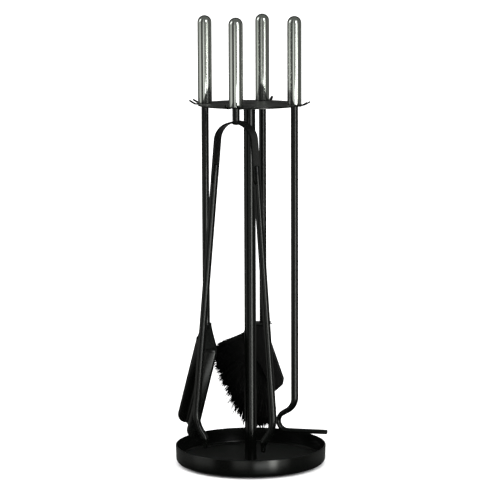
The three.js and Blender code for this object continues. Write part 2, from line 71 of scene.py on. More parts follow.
# %% [markdown]
# ## Sizes
# The tools are drawn in millimetres, as a maker's drawing is, with heights counted from the underside of
# the tray. One factor turns them into metres, and one lift accounts for the felt under the tray.

# %% Sizes of the real pieces
MM = 0.001
LIFT = 2.3                      # felt and clearance under the tray
GAP = 0.3                       # clearance between pieces
SLOT_REACH = 62.7               # from the post to each tool
PLATE_TOP, PLATE_SHEET = 491.0, 2.0
ROD = 5.0                       # radius of every rod
HANDLE = {"radius": 9.6, "wall": 1.5, "length": 118.0, "lip": 0.6}
TONGS = {"crown": 473.0, "arch": 25.6, "splay": 4.4, "sheet": 2.5, "width": 27.0, "leg": 57.5,
         "slit": 24.5, "arm_top": 414.5, "claw": 78.0, "yaw": -1.0, "lean": 0.6}
BRUSH_YAW = 14.0


def place(angle, reach=SLOT_REACH, yaw=0.0):
    """The matrix from a tool's own drawing, in mm, to the frame, in metres."""
    spot = Vector((reach * cos(radians(angle)), reach * sin(radians(angle)), LIFT))
    return Matrix.Scale(MM, 4) @ Matrix.Translation(spot) @ Matrix.Rotation(radians(yaw), 4, "Z")


AT_POST = place(0, reach=0)
AT_POKER, AT_BRUSH, AT_SHOVEL, AT_TONGS = place(0), place(90), place(180), place(-90)
BRUSH_HEAD = place(90, yaw=BRUSH_YAW)
HANGING = (place(-90, yaw=TONGS["yaw"])
           @ Matrix.Translation((0, 0, TONGS["crown"]))
           @ Matrix.Rotation(radians(TONGS["lean"]), 4, "Y")
           @ Matrix.Translation((0, 0, -TONGS["crown"])))
for tool_axis in (AT_POKER, AT_BRUSH, AT_SHOVEL, AT_TONGS):
    print("tool axis:", tuple(round(v, 4) for v in tool_axis.translation))

# %% [markdown]
# ## Node arithmetic
# Blender's material, world and geometry nodes are all wired in the same way: make a node, set it, plug
# values or links into its sockets. `Tree.add` does that for any node. `Signal` wraps one output socket, so
# that `0.3 + 0.1 * grain` adds the Math nodes by itself, which reads better than a page of links.

# %% The node helpers
class Signal:
    """One output socket that takes part in arithmetic."""

    def __init__(self, tree, socket):
        self.tree, self.socket = tree, socket

    def _math(self, operation, first, second):
        return self.tree.add("ShaderNodeMath", {"operation": operation}, {0: first, 1: second})

    def __add__(self, other):
        return self._math("ADD", self, other)

    def __sub__(self, other):
        return self._math("SUBTRACT", self, other)

    def __mul__(self, other):
        return self._math("MULTIPLY", self, other)

    def __rsub__(self, other):
        return self._math("SUBTRACT", other, self)

    def __pow__(self, other):
        return self._math("POWER", self, other)

    __radd__, __rmul__ = __add__, __mul__


class Tree:
    """A node tree, and the one way to add a node to it."""

    def __init__(self, tree):
        self.tree = tree

    def add(self, kind, settings=None, inputs=None, output=0):
        node = self.tree.nodes.new(kind)
        for name, value in (settings or {}).items():
            if name == "stops":
                while len(node.color_ramp.elements) < len(value):
                    node.color_ramp.elements.new(0.5)
                for element, (position, colour) in zip(node.color_ramp.elements, value):
                    element.position, element.color = position, (*colour, 1)
            else:
                setattr(node, name, value)
        for name, value in (inputs or {}).items():
            self.feed(node.inputs[name], value)
        return Signal(self, node.outputs[output]) if node.outputs else node

    def feed(self, socket, value):
        if isinstance(value, Signal):
            self.tree.links.new(value.socket, socket)
        else:
            socket.default_value = value


# %% [markdown]
# ## Finishes
# Each real finish is one material. All of them read Object coordinates, so a pattern has the same scale
# on every piece and stays put when a tool moves. Noise textures take coordinates in metres here, so a
# scale of 1000 gives features of about a millimetre.

# %% Material helpers
FINISHES = {}


def start_finish(name, roughness, metallic=0.0, specular=0.5):
    material = bpy.data.materials.new(name)
    material.use_nodes = True
    shader = material.node_tree.nodes["Principled BSDF"]
    shader.inputs["Roughness"].default_value = roughness
    shader.inputs["Metallic"].default_value = metallic
    shader.inputs["Specular IOR Level"].default_value = specular
    FINISHES[name] = material
    tree = Tree(material.node_tree)
    where = tree.add("ShaderNodeTexCoord", output="Object")
    return tree, shader, where


def speckle(tree, where, scale, detail=2.0, stretch=(1, 1, 1), rough=0.5):
    """A noise between 0 and 1; `stretch` squeezes it along an axis to draw streaks."""
    placed = tree.add("ShaderNodeMapping", inputs={"Vector": where, "Scale": stretch})
    return tree.add("ShaderNodeTexNoise", inputs={
        "Vector": placed, "Scale": scale, "Detail": detail, "Roughness": rough})


def blend_colours(tree, factor, first, second):
    return tree.add("ShaderNodeMix", {"data_type": "RGBA"},
                    {"Factor": factor, 6: (*first, 1), 7: (*second, 1)}, output=2)


def relief(tree, shader, height, depth, strength=1.0):
    bump = tree.add("ShaderNodeBump", inputs={
        "Height": height, "Distance": depth, "Strength": strength})
    tree.feed(shader.inputs["Normal"], bump)


def upward(tree, low, high):
    """1 on faces that look up, 0 on walls: where dust and lint settle."""
    normal = tree.add("ShaderNodeTexCoord", output="Normal")
    split = tree.add("ShaderNodeSeparateXYZ", inputs={0: normal}, output=2)
    return tree.add("ShaderNodeMapRange", {"interpolation_type": "SMOOTHSTEP"},
                    {"Value": split, "From Min": low, "From Max": high})


# %% [markdown]
# **Satin black powder coat** is sprayed and baked, which leaves a faint orange peel, a few tenths of a
# millimetre across, and slightly duller patches. A little pale dust lies on faces that look up.

# %% Powder coat
tree, shader, where = start_finish("black_coat", 0.24, specular=0.3)
peel = speckle(tree, where, 620, detail=1.5)
patches = speckle(tree, where, 26, detail=3)
grit = speckle(tree, where, 2300, detail=1)
settled = upward(tree, 0.75, 1.0)
dust = settled * (0.35 + 0.9 * (grit ** 2.0))
coat = blend_colours(tree, patches, (0.0006, 0.0008, 0.0006), (0.0014, 0.0017, 0.0013))
dusty = tree.add("ShaderNodeMix", {"data_type": "RGBA"},
                 {"Factor": dust, 6: coat, 7: (0.008, 0.009, 0.008, 1)}, output=2)
tree.feed(shader.inputs["Base Color"], dusty)
tree.feed(shader.inputs["Roughness"], 0.13 + 0.07 * patches + 0.04 * grit + 0.22 * settled)
relief(tree, shader, peel + 0.3 * grit, 0.00006, 0.25)
print("black_coat:", len(tree.tree.nodes), "nodes")

# %% [markdown]
# **Stainless steel** handles are polished on a lathe with a fine belt. The belt leaves hair lines that run
# round the tube, so the noise is squeezed along Z. The lines barely change the colour, but they break up
# the gloss, which is what makes steel read as steel and not as chrome.

# %% Brushed stainless steel
tree, shader, where = start_finish("stainless", 0.2, metallic=1.0)
hairs = speckle(tree, where, 60, detail=4, stretch=(1, 1, 45), rough=0.65)
cloud = speckle(tree, where, 70, detail=3)
steel = blend_colours(tree, hairs, (0.50, 0.52, 0.49), (0.64, 0.66, 0.625))
tree.feed(shader.inputs["Base Color"], steel)
tree.feed(shader.inputs["Roughness"], 0.085 + 0.03 * hairs + 0.02 * cloud)
relief(tree, shader, hairs, 0.000001, 0.3)
print("stainless:", len(tree.tree.nodes), "nodes")

# %% [markdown]
# **Zinc plate** on the small screws and plugs is a bluish metal with a faint cloudy spangle.

# %% Zinc plate
tree, shader, where = start_finish("zinc", 0.35, metallic=1.0)
spangle = speckle(tree, where, 420, detail=3)
plated = blend_colours(tree, spangle, (0.34, 0.36, 0.38), (0.56, 0.58, 0.60))
tree.feed(shader.inputs["Base Color"], plated)
tree.feed(shader.inputs["Roughness"], 0.26 + 0.2 * spangle)
relief(tree, shader, spangle, 0.00002, 0.4)

# %% [markdown]
# **Moulded black plastic** on the brush block has a fine spark-eroded grain from the mould.

# %% Moulded plastic
tree, shader, where = start_finish("block_black", 0.5, specular=0.12)
grain = speckle(tree, where, 1500, detail=2)
rubbed = speckle(tree, where, 45, detail=4)
plastic = blend_colours(tree, rubbed, (0.0008, 0.0008, 0.0007), (0.0022, 0.0020, 0.0019))
tree.feed(shader.inputs["Base Color"], plastic)
tree.feed(shader.inputs["Roughness"], 0.40 + 0.16 * rubbed + 0.08 * grain)
relief(tree, shader, grain, 0.00008, 0.5)

# %% [markdown]
# **Synthetic bristle** is a stiff black monofilament. Each strand has its own slight shine, which a noise
# across the strands gives; along a strand it hardly changes.

# %% Bristle
tree, shader, where = start_finish("bristle_black", 0.5, specular=0.2)
strands = speckle(tree, where, 900, detail=2, stretch=(1, 1, 0.12))
strand_colour = blend_colours(tree, strands, (0.0004, 0.0005, 0.0004), (0.0030, 0.0032, 0.0028))
tree.feed(shader.inputs["Base Color"], strand_colour)
tree.feed(shader.inputs["Roughness"], 0.36 + 0.3 * strands)

# %% [markdown]
# **Felt** under the tray is matted wool: no gloss, a fuzzy surface, flecks of lighter fibre.

# %% Felt
tree, shader, where = start_finish("felt_black", 0.95, specular=0.1)
fibres = speckle(tree, where, 2600, detail=5, rough=0.7)
wool = blend_colours(tree, fibres ** 3.0, (0.006, 0.006, 0.006), (0.05, 0.05, 0.05))
tree.feed(shader.inputs["Base Color"], wool)
shader.inputs["Sheen Weight"].default_value = 0.4
relief(tree, shader, fibres, 0.0004, 0.8)
print("finishes:", sorted(FINISHES))

# %% [markdown]
# ## Mesh helpers
# Nearly every piece is either turned on a lathe or bent from bar and strip. So two helpers cover most of
# the work: `turned` spins a profile, and `skinned` joins a row of outlines into a closed tube; both weld
# doubles and turn normals outward. `piece` makes the object: it shades smooth up to a sharp angle, gives
# the finish and the CAD body that it rides on, and hides the CAD nodes that it stands for.

# %% Mesh helpers
def piece(name, mesh, finish, body=None, stands_for=(), sharp=35):
    """A finished piece at the origin, from a mesh whose points are already in the frame."""
    mesh.materials.clear()
    mesh.materials.append(FINISHES[finish])
    mesh.polygons.foreach_set("use_smooth", [True] * len(mesh.polygons))
    mesh.set_sharp_from_angle(angle=radians(sharp))
    made = bpy.data.objects.new(name, mesh)
    bpy.context.scene.collection.objects.link(made)
    if body:
        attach(made, body)
    if stands_for:
        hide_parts(*stands_for)
    return made


def cleaned(name, points, faces, matrix):
    """A welded mesh with its normals outward, moved into the frame."""
    bm = bmesh.new()
    corners = [bm.verts.new(matrix @ Vector(p)) for p in points]
    for face in faces:
        bm.faces.new([corners[i] for i in face])
    bmesh.ops.remove_doubles(bm, verts=bm.verts, dist=1e-6)
    bmesh.ops.recalc_face_normals(bm, faces=bm.faces)
    mesh = bpy.data.meshes.new(name)
    bm.to_mesh(mesh)
    bm.free()
    return mesh


def turned(name, profile, matrix, sides=96, closed=False):
    """Spins [radius, height] points about Z; a ring profile is closed on itself."""
    points, faces = [], []
    rows = len(profile)
    for k in range(sides):
        angle = 2 * pi * k / sides
        points += [(r * cos(angle), r * sin(angle), z) for r, z in profile]
    for k in range(sides):
        here, there = k * rows, ((k + 1) % sides) * rows
        for i in range(rows if closed else rows - 1):
            j = (i + 1) % rows
            quad = [here + i, there + i, there + j, here + j]
            if profile[i][0] < 1e-9:
                quad.remove(there + i)
            if profile[j][0] < 1e-9:
                quad.remove(there + j)
            if len(quad) > 2:
                faces.append(quad)
    return cleaned(name, points, faces, matrix)


def arc(radius, height, r, start, end, steps):
    """Points on an arc of a profile, with angles in degrees."""
    angles = [radians(start + (end - start) * i / steps) for i in range(steps + 1)]
    return [(radius + r * cos(a), height + r * sin(a)) for a in angles]


def skinned(name, sections, matrix):
    """A closed skin over a row of outlines that all have the same number of points."""
    count = len(sections[0])
    points = [p for section in sections for p in section]
    faces = [list(range(count))[::-1], [len(points) - count + i for i in range(count)]]
    for s in range(len(sections) - 1):
        for i in range(count):
            j = (i + 1) % count
            faces.append([s * count + i, s * count + j, (s + 1) * count + j, (s + 1) * count + i])
    return cleaned(name, points, faces, matrix)


def walk(start, heading, steps, fine=3.0, stride=12.0):
    """Follows (run, turn, radius) steps in the X-Z plane; returns (x, z, heading) stations."""
    x, z = start
    stations = [(x, z, heading)]
    for run, turn, radius in steps:
        count = max(1, ceil(abs(turn) / fine) if turn else ceil(run / stride))
        for _ in range(count):
            part = turn / count
            chord = 2 * radius * sin(radians(abs(part)) / 2) if turn else run / count
            direction = radians(heading + part / 2)
            x, z = x + chord * cos(direction), z + chord * sin(direction)
            heading += part
            stations.append((x, z, heading))
    return stations


def oval_at(station, a, b, sides=32):
    """An oval outline square to a station; `a` lies in the plane of the path."""
    x, z, heading = station
    across = Vector((sin(radians(heading)), 0, -cos(radians(heading))))
    ring = [2 * pi * (i + 0.5) / sides for i in range(sides)]
    return [Vector((x, 0, z)) + across * (a * cos(t)) + Vector((0, b * sin(t), 0)) for t in ring]


def without(mesh, cutter):
    """The mesh with another mesh cut out of it."""
    scene = bpy.context.scene.collection.objects
    body, tool = bpy.data.objects.new("cut", mesh), bpy.data.objects.new("cutter", cutter)
    for o in (body, tool):
        scene.link(o)
    cut = body.modifiers.new("Cut", "BOOLEAN")
    cut.object, cut.operation, cut.solver = tool, "DIFFERENCE", "EXACT"
    bpy.context.view_layer.update()
    result = bpy.data.meshes.new_from_object(body.evaluated_get(bpy.context.evaluated_depsgraph_get()))
    for o in (body, tool):
        bpy.data.objects.remove(o)
    return result


def softened(node, bevel, sharp=28, segments=2, merge=0.6):
    """A CAD node's mesh, welded into flat faces, with its sharp edges rounded over by `bevel` mm."""
    bm = bmesh.new()
    bm.from_mesh(frame["nodes"][node].data)
    bmesh.ops.remove_doubles(bm, verts=bm.verts, dist=5e-6)
    bmesh.ops.dissolve_limit(bm, angle_limit=radians(merge), verts=bm.verts, edges=bm.edges)
    mesh = bpy.data.meshes.new(node + "_soft")
    bm.to_mesh(mesh)
    bm.free()
    body = bpy.data.objects.new("soften", mesh)
    bpy.context.scene.collection.objects.link(body)
    edge = body.modifiers.new("Round over", "BEVEL")
    edge.width, edge.segments, edge.limit_method = bevel * MM, segments, "ANGLE"
    edge.angle_limit, edge.use_clamp_overlap = radians(sharp), True
    bpy.context.view_layer.update()
    result = bpy.data.meshes.new_from_object(body.evaluated_get(bpy.context.evaluated_depsgraph_get()))
    bpy.data.objects.remove(body)
    return result


# %% [markdown]
# ## The stand
# The tray is pressed from 2 mm sheet: a flat floor, a rounded corner, a wall that leans out a little, and a
# rolled lip. On a lathe profile that is one closed ring, so it is spun, with enough sides for a smooth rim.

# %% Tray, felt and post
TRAY = {"radius": 103, "height": 24, "sheet": 2, "corner": 6, "lip": 1, "tilt": 2, "hole": 3.5}
sheet, corner, lip, tilt = TRAY["sheet"], TRAY["corner"], TRAY["lip"], TRAY["tilt"]
wall_foot = TRAY["radius"] - (TRAY["height"] - corner) * tan(radians(tilt)) - corner
tray = turned("tray", [
    (TRAY["hole"], 0), (40, 0), (80, 0), *arc(wall_foot, corner, corner, -90, -tilt, 10),
    *arc(TRAY["radius"] - lip, TRAY["height"] - lip, lip, -tilt, 180 - tilt, 10),
    *arc(wall_foot, corner, corner - sheet, -tilt, -90, 10),
    (80, sheet), (40, sheet), (12, sheet), (TRAY["hole"], sheet)], AT_POST, sides=192, closed=True)
piece("tray", tray, "black_coat", "stand", ["base_tray"])
FELT = {"radius": 90, "edge": 0.4, "bolt_hole": 9.2, "under_bolt": -1.8}
felt = turned("felt", [
    (0, -LIFT), (FELT["radius"] - FELT["edge"], -LIFT), (FELT["radius"], -LIFT + FELT["edge"]),
    (FELT["radius"], -GAP - FELT["edge"]), (FELT["radius"] - FELT["edge"], -GAP),
    (FELT["bolt_hole"], -GAP), (FELT["bolt_hole"], FELT["under_bolt"]), (0, FELT["under_bolt"])],
    AT_POST, sides=128)
piece("felt", felt, "felt_black", "stand", ["base_felt"])
POST = {"radius": 8, "bore": 6.5, "chamfer": 0.3}
post_foot, post_top = TRAY["sheet"] + GAP, PLATE_TOP - PLATE_SHEET - GAP
outer, cut_back = POST["radius"], POST["chamfer"]
post = turned("post", [
    (POST["bore"], post_foot), (outer - cut_back, post_foot), (outer, post_foot + cut_back),
    (outer, post_top - cut_back), (outer - cut_back, post_top), (POST["bore"], post_top)],
    AT_POST, sides=64, closed=True)
piece("post", post, "black_coat", "stand", ["post_tube"])
print("stand so far:", [len(m.polygons) for m in (tray, felt, post)], "faces")

# %% [markdown]
# The plate is cut from sheet, with four open slots and a pair of upturned fingers at each. Its shape is
# already exact in the CAD model. What a real plate has beyond it is the soft edge that powder coat gives,
# so the CAD mesh is copied, welded, and its sharp edges are rounded over with a Bevel modifier.

# %% Hanging plate and its screw
piece("hanging_plate", softened("top_plate", 0.45, segments=3), "black_coat", "stand", ["top_plate"])
piece("plate_screw", softened("top_screw", 0.2), "black_coat", "stand", ["top_screw"])

# %% [markdown]
# ## Handles
# Each handle is a stainless tube with a domed end, open at the bottom. The profile runs up the outside,
# over the dome and down the inside, with a small rolled lip at the mouth.

# %% Handles
def handle_mesh(name, matrix):
    r, wall, lip = HANDLE["radius"], HANDLE["wall"], HANDLE["lip"]
    mouth = PLATE_TOP + GAP
    dome = mouth + HANDLE["length"] - r
    return turned(name, [
        *arc(0, dome, r, 90, 0, 20), (r, mouth + 60), (r, mouth + lip),
        *arc(r - lip, mouth + lip, lip, 0, -90, 4), (r - wall, mouth),
        *arc(0, dome, r - wall, 0, 90, 12)], matrix, sides=96)


TOOLS = {"poker": AT_POKER, "brush": AT_BRUSH, "shovel": AT_SHOVEL, "tongs": AT_TONGS}
for tool, matrix in TOOLS.items():
    handle = tool + "_handle"
    grip = piece(tool + "_grip", handle_mesh(tool, matrix), "stainless", handle, [handle])
    print(grip.name, len(grip.data.polygons), "faces")

# %% [markdown]
# ## Straight rods
# The shovel, the brush and the tongs hang from 10 mm rods. Each rod has a turned-down spigot that screws
# into its handle. The shoulder is slightly chamfered, as a lathe tool leaves it.

# %% Rods
CHAMFER = 0.4
SPIGOT_RADIUS, SPIGOT_LENGTH, SPIGOT_CHAMFER = 4, 14, 0.5


def rod_mesh(name, bottom, matrix):
    top = PLATE_TOP + GAP
    return turned(name, [
        (0, bottom), (ROD - CHAMFER, bottom), (ROD, bottom + CHAMFER),
        (ROD, top - CHAMFER), (ROD - CHAMFER, top), (SPIGOT_RADIUS, top),
        (SPIGOT_RADIUS, top + SPIGOT_LENGTH - SPIGOT_CHAMFER),
        (SPIGOT_RADIUS - SPIGOT_CHAMFER, top + SPIGOT_LENGTH), (0, top + SPIGOT_LENGTH)], matrix, sides=48)


SHOVEL_ROD_FOOT, BRUSH_ROD_FOOT = 177, 182
shovel_bar = rod_mesh("shovel_bar", SHOVEL_ROD_FOOT, AT_SHOVEL)
piece("shovel_bar", shovel_bar, "black_coat", "shovel", ["shovel_rod"])
brush_bar = rod_mesh("brush_bar", BRUSH_ROD_FOOT, AT_BRUSH)
piece("brush_bar", brush_bar, "black_coat", "brush", ["brush_rod"])
stem = rod_mesh("tongs_top", TONGS["crown"] + GAP, AT_TONGS)
piece("tongs_top", stem, "black_coat", "tongs", ["tongs_stem"])

# %% [markdown]
# ## Poker
# The end of the poker is forged hot: the rod leans out, turns back under itself round a tight bend and
# ends in a straight prong. Forging flattens it in the plane of the bends, so the section goes from a
# circle to an oval on the way. A path of fine steps carries an outline whose width follows that rule.

# %% Poker
FORGED, TIP = 3.3, 3.1          # half thickness past the bends, and at the tip
FORGING = 26                    # stations that the flattening takes
BEND_START = 91.5               # height at which the rod starts to bend

shoulder = PLATE_TOP + GAP
poker_path = walk((0, shoulder), -90, [
    (shoulder - BEND_START, 0, 0), (0, -59, 21), (7.5, 0, 0), (0, 150, 13), (55, 0, 0)])
end_x, end_z, end_turn = poker_path[-1]
last = len(poker_path) - 1
bend_first = next(i for i, s in enumerate(poker_path) if s[2] != -90)
bend_last = max(i for i, s in enumerate(poker_path) if abs(s[2] - end_turn) > 1e-6)
spigot = ((SPIGOT_LENGTH, SPIGOT_RADIUS - SPIGOT_CHAMFER), (SPIGOT_LENGTH - SPIGOT_CHAMFER, SPIGOT_RADIUS),
          (0.02, SPIGOT_RADIUS), (0.01, ROD - CHAMFER), (-CHAMFER, ROD))
sections = [oval_at((0, shoulder + h, -90), r, r) for h, r in spigot]
for i in range(1, last):
    flat = min(1.0, max(0.0, (i - bend_first) / FORGING))
    half = ROD + (FORGED - ROD) * flat
    if i > bend_last:
        half = FORGED + (TIP - FORGED) * (i - bend_last) / (last - bend_last)
    sections.append(oval_at(poker_path[i], half, ROD))
for back, inset in ((0.8, 0.0), (0.1, 0.35), (0.0, 0.9)):
    spot = (end_x - back * cos(radians(end_turn)), end_z - back * sin(radians(end_turn)), end_turn)
    sections.append(oval_at(spot, TIP - inset, ROD - inset))
poker = skinned("poker_bar", sections, AT_POKER)
piece("poker_bar", poker, "black_coat", "poker", ["poker_rod"])
print("poker:", len(poker_path), "stations")

# %% [markdown]
# ## Tongs
# One strip of spring steel is bent into an arch with two legs. A rivet through its crown holds it to the
# stem, and each leg is gripped in the sawn end of an arm. When the arms close, the arch bends. So the
# strip is made as two halves that meet at the crown.

# %% Spring halves
ARCH_STEPS = 30
FOOT_STEPS = (5, 3.6, 2.4, 1.4, 0.6, 0.15, 0)    # from the end of the leg
FOOT_RADIUS = 7
STRIP_EDGE = 0.5
ARCH_CENTRE = TONGS["crown"] - TONGS["sheet"] / 2 - TONGS["arch"]
SLOPE = radians(TONGS["splay"])


def strip_half(side):
    """Right (1) or left (-1) half of the strip, from the crown to the rounded foot."""
    stations = []
    for i in range(ARCH_STEPS + 1):
        a = 90 - (90 - TONGS["splay"]) * i / ARCH_STEPS
        x, z = TONGS["arch"] * cos(radians(a)), ARCH_CENTRE + TONGS["arch"] * sin(radians(a))
        stations.append((x, z, a - 90, TONGS["leg"]))
    runs = [TONGS["leg"] * i / 16 for i in range(1, 15)] + [TONGS["leg"] - d for d in FOOT_STEPS]
    stations += [(x + s * sin(SLOPE), z - s * cos(SLOPE), TONGS["splay"] - 90, TONGS["leg"] - s)
                 for s in runs]
    half, edge = TONGS["sheet"] / 2, STRIP_EDGE
    rows = []
    for x, z, heading, left in stations:
        short = max(0.0, FOOT_RADIUS - left)
        wide = TONGS["width"] / 2 - (FOOT_RADIUS - sqrt(max(0.0, FOOT_RADIUS ** 2 - short ** 2)))
        normal = Vector((-sin(radians(heading)), 0, cos(radians(heading))))
        outline = [(wide, -half + edge), (wide, half - edge), (wide - edge, half), (-wide + edge, half),
                   (-wide, half - edge), (-wide, -half + edge), (-wide + edge, -half), (wide - edge, -half)]
        rows.append([(side * (x + normal.x * n), y, z + normal.z * n) for y, n in outline])
    return skinned("strip", rows, HANGING)


def rivet_hole():
    low, high, radius = TONGS["crown"] - 8, TONGS["crown"] + 4, 3.3
    return turned("hole", [(0, low), (radius, low), (radius, high), (0, high)], AT_TONGS, sides=24)


springs = {}
for side, arm in ((1, "right"), (-1, "left")):
    mesh = without(strip_half(side), rivet_hole())
    springs[arm] = piece("spring_" + arm, mesh, "black_coat", None, (), sharp=40)
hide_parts("tongs_spring")
print("spring:", len(springs["right"].data.polygons), "faces a half")

# %% [markdown]
# The arms are rods. Each is bent in at the bottom into a claw, and sawn open at the top to straddle the
# leg of the strip. The rod is swept along its path, and the slit is a box cut out with a Boolean.

# %% Arms and rivet
TAPER, TAPER_STATIONS = 1.7, 12   # mm that the claw thins by, over this many stations of its path


def box(name, matrix):
    """A cube of side 1 under a matrix."""
    bm = bmesh.new()
    bmesh.ops.create_cube(bm, size=1, matrix=matrix)
    mesh = bpy.data.meshes.new(name)
    bm.to_mesh(mesh)
    bm.free()
    return mesh


def round_ahead(station, run, radius):
    """A round outline, a run ahead of a station."""
    x, z, heading = station
    spot = (x + run * cos(radians(heading)), z + run * sin(radians(heading)), heading)
    return oval_at(spot, radius, radius)


def arm_mesh(side):
    """Right (1) or left (-1) arm, from its sawn top to the thin tip of its claw."""
    top_x = TONGS["arch"] * cos(SLOPE)
    top_x += (ARCH_CENTRE + TONGS["arch"] * sin(SLOPE) - TONGS["arm_top"]) * tan(SLOPE)
    path = walk((top_x, TONGS["arm_top"]), -90 + TONGS["splay"], [
        ((TONGS["arm_top"] - TONGS["claw"]) / cos(SLOPE), 0, 0), (0, -37.4, 45), (7, 0, 0),
        (0, 33, 14), (5, 0, 0)], fine=2.5)
    taper_start = len(path) - 1 - TAPER_STATIONS
    radii = [ROD - TAPER * max(0, i - taper_start) / TAPER_STATIONS for i in range(len(path))]
    top = [round_ahead(path[0], run, ROD - less) for run, less in ((0, 0.5), (0.15, 0.2), (0.5, 0))]
    tip = [round_ahead(path[-1], run, radii[-1] - less)
           for run, less in ((1.2, 0.15), (2.3, 0.5), (2.8, 0.9), (3.0, 1.4))]
    sections = [*top, *[oval_at(s, r, r) for s, r in zip(path[1:], radii[1:])], *tip]
    if side < 0:
        sections = [[Vector((-p.x, p.y, p.z)) for p in s] for s in sections]
    slit = (Matrix.Translation((side * top_x, 0, TONGS["arm_top"])) @ Matrix.Rotation(-side * SLOPE, 4, "Y")
            @ Matrix.Diagonal((TONGS["sheet"] + 2 * GAP, 4 * ROD, 2 * TONGS["slit"], 1)))
    return without(skinned("arm", sections, HANGING), box("slit", HANGING @ slit))


for side, arm in ((1, "right"), (-1, "left")):
    made = piece("arm_" + arm, arm_mesh(side), "black_coat", "tongs_arm_" + arm, ["tongs_arm_" + arm])
    print(made.name, len(made.data.polygons), "faces")
for side, arm in ((1, "right"), (-1, "left")):
    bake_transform(springs[arm])
RIVET = {"head": 5, "dome": 2, "shank": 3, "top": 482, "chamfer": 0.5, "seat": 0.51}
head, shank, top = TONGS["crown"] - TONGS["sheet"] - RIVET["seat"] - GAP, RIVET["shank"], RIVET["top"]
domed = [(RIVET["head"] * sin(radians(a)), head - RIVET["dome"] * cos(radians(a)))
         for a in range(10, 90, 10)]
rivet = turned("rivet", [
    (0, head - RIVET["dome"]), *domed, (RIVET["head"], head), (shank, head),
    (shank, top - RIVET["chamfer"]), (shank - RIVET["chamfer"], top), (0, top)], AT_TONGS, sides=40)
piece("rivet", rivet, "black_coat", "tongs", ["tongs_rivet"])

# %% [markdown]
# ## Shovel pan
# The pan is folded from one sheet: a neck that wraps the rod, shoulders, a sloping floor and two low
# walls. The CAD mesh has the folds; the copy gets the rounded sheet edge that a brushed-off burr leaves.

# %% Shovel pan
folded = softened("shovel_pan", 0.5, sharp=50, segments=2, merge=0.3)
pan = piece("pan", folded, "black_coat", "shovel", ["shovel_pan"], sharp=50)
print("pan:", len(pan.data.polygons), "faces")

# %% [markdown]
# ## Brush head
# A steel cap is welded to the rod, and a moulded wedge is screwed under it. The wedge is a copied CAD
# block with generous mould radii. The screw has a domed head with a cross recess.

# %% Cap, block and screws
piece("brush_plate", softened("brush_cap", 0.5), "black_coat", "brush", ["brush_cap"])
moulded = softened("brush_block", 1.3, sharp=40, segments=4)
piece("wedge", moulded, "block_black", "brush", ["brush_block"], sharp=50)
piece("cap_pin", softened("brush_cap_pin", 0.25), "zinc", "brush", ["brush_cap_pin"])
SCREW = {"at": (12, -15 - GAP, 116), "radius": 2.2, "rim": 0.4, "dome": 0.9, "recess": (2.4, 0.55, 1.2)}
toward = Matrix.Translation(SCREW["at"]) @ Matrix.Rotation(radians(90), 4, "X")
shoulder_up = SCREW["rim"] + 0.1
crown_points = [(SCREW["radius"] * sin(radians(a)), shoulder_up + SCREW["dome"] * cos(radians(a)))
                for a in range(15, 90, 15)]
dome = turned("screw", [
    (0, shoulder_up + SCREW["dome"]), *crown_points, (SCREW["radius"], SCREW["rim"]),
    (SCREW["radius"], 0), (0, 0)], BRUSH_HEAD @ toward, sides=32)
for bar in (0, 90):
    slot = (Matrix.Rotation(radians(bar), 4, "Z") @ Matrix.Translation((0, 0, 1.3))
            @ Matrix.Diagonal((*SCREW["recess"], 1)))
    dome = without(dome, box("recess", BRUSH_HEAD @ toward @ slot))
piece("block_screw", dome, "zinc", "brush", ["brush_block_screw"])

# %% [markdown]
# ## Bristles
# A tuft is thousands of strands that start close together and fan out, each with its own length and curl.
# That is work for Geometry Nodes: a small sheet of roots carries, at every point, the way that a strand
# grows from there. The tree scatters seeded points on the sheet, stands a line on each, bends it a little,
# and sweeps a thin three-sided profile along it.

# %% Root sheet
ROOT_ENDS = (Vector((-27.5, 0, 166.7)), Vector((10.4, 0, 94.3)))
TIPS = [Vector(p) for p in ((-64, 0, 145), (-66.5, 0, 131), (-60, 0, 110), (-48, 0, 84), (-35, 0, 57),
                            (-19, 0, 40), (-3, 0, 38), (10, 0, 44))]


def tip_at(t):
    """A point on the smooth curve that the strands reach to, with t from 0 to 1."""
    position = t * (len(TIPS) - 1)
    i = min(int(position), len(TIPS) - 2)
    p = [TIPS[max(0, min(len(TIPS) - 1, i + k))] for k in (-1, 0, 1, 2)]
    u = position - i
    return 0.5 * (2 * p[1] + (p[2] - p[0]) * u + (2 * p[0] - 5 * p[1] + 4 * p[2] - p[3]) * u * u
                  + (3 * p[1] - 3 * p[2] + p[3] - p[0]) * u ** 3)


ROOT_HALF_DEPTH, TIP_HALF_DEPTH = 12.5, 19
along, across = 36, 8
roots = bpy.data.meshes.new("roots")
grid, reaches = [], []
for i in range(along + 1):
    for j in range(across + 1):
        t, s = i / along, 2 * j / across - 1
        root = ROOT_ENDS[0].lerp(ROOT_ENDS[1], t) + Vector((0, ROOT_HALF_DEPTH * s, 0))
        tip = tip_at(t) + Vector((0, TIP_HALF_DEPTH * s, 0))
        grid.append(BRUSH_HEAD @ root)
        reaches.append(BRUSH_HEAD.to_3x3() @ (tip - root))
quads = [(a, a + across + 1, a + across + 2, a + 1)
         for i in range(along) for j in range(across) for a in [i * (across + 1) + j]]
roots.from_pydata(grid, [], quads)
attribute = roots.attributes.new("reach", "FLOAT_VECTOR", "POINT")
attribute.data.foreach_set("vector", [c for r in reaches for c in r])
print("roots:", len(grid), "points, strands from", round(min(r.length for r in reaches), 4), "m")

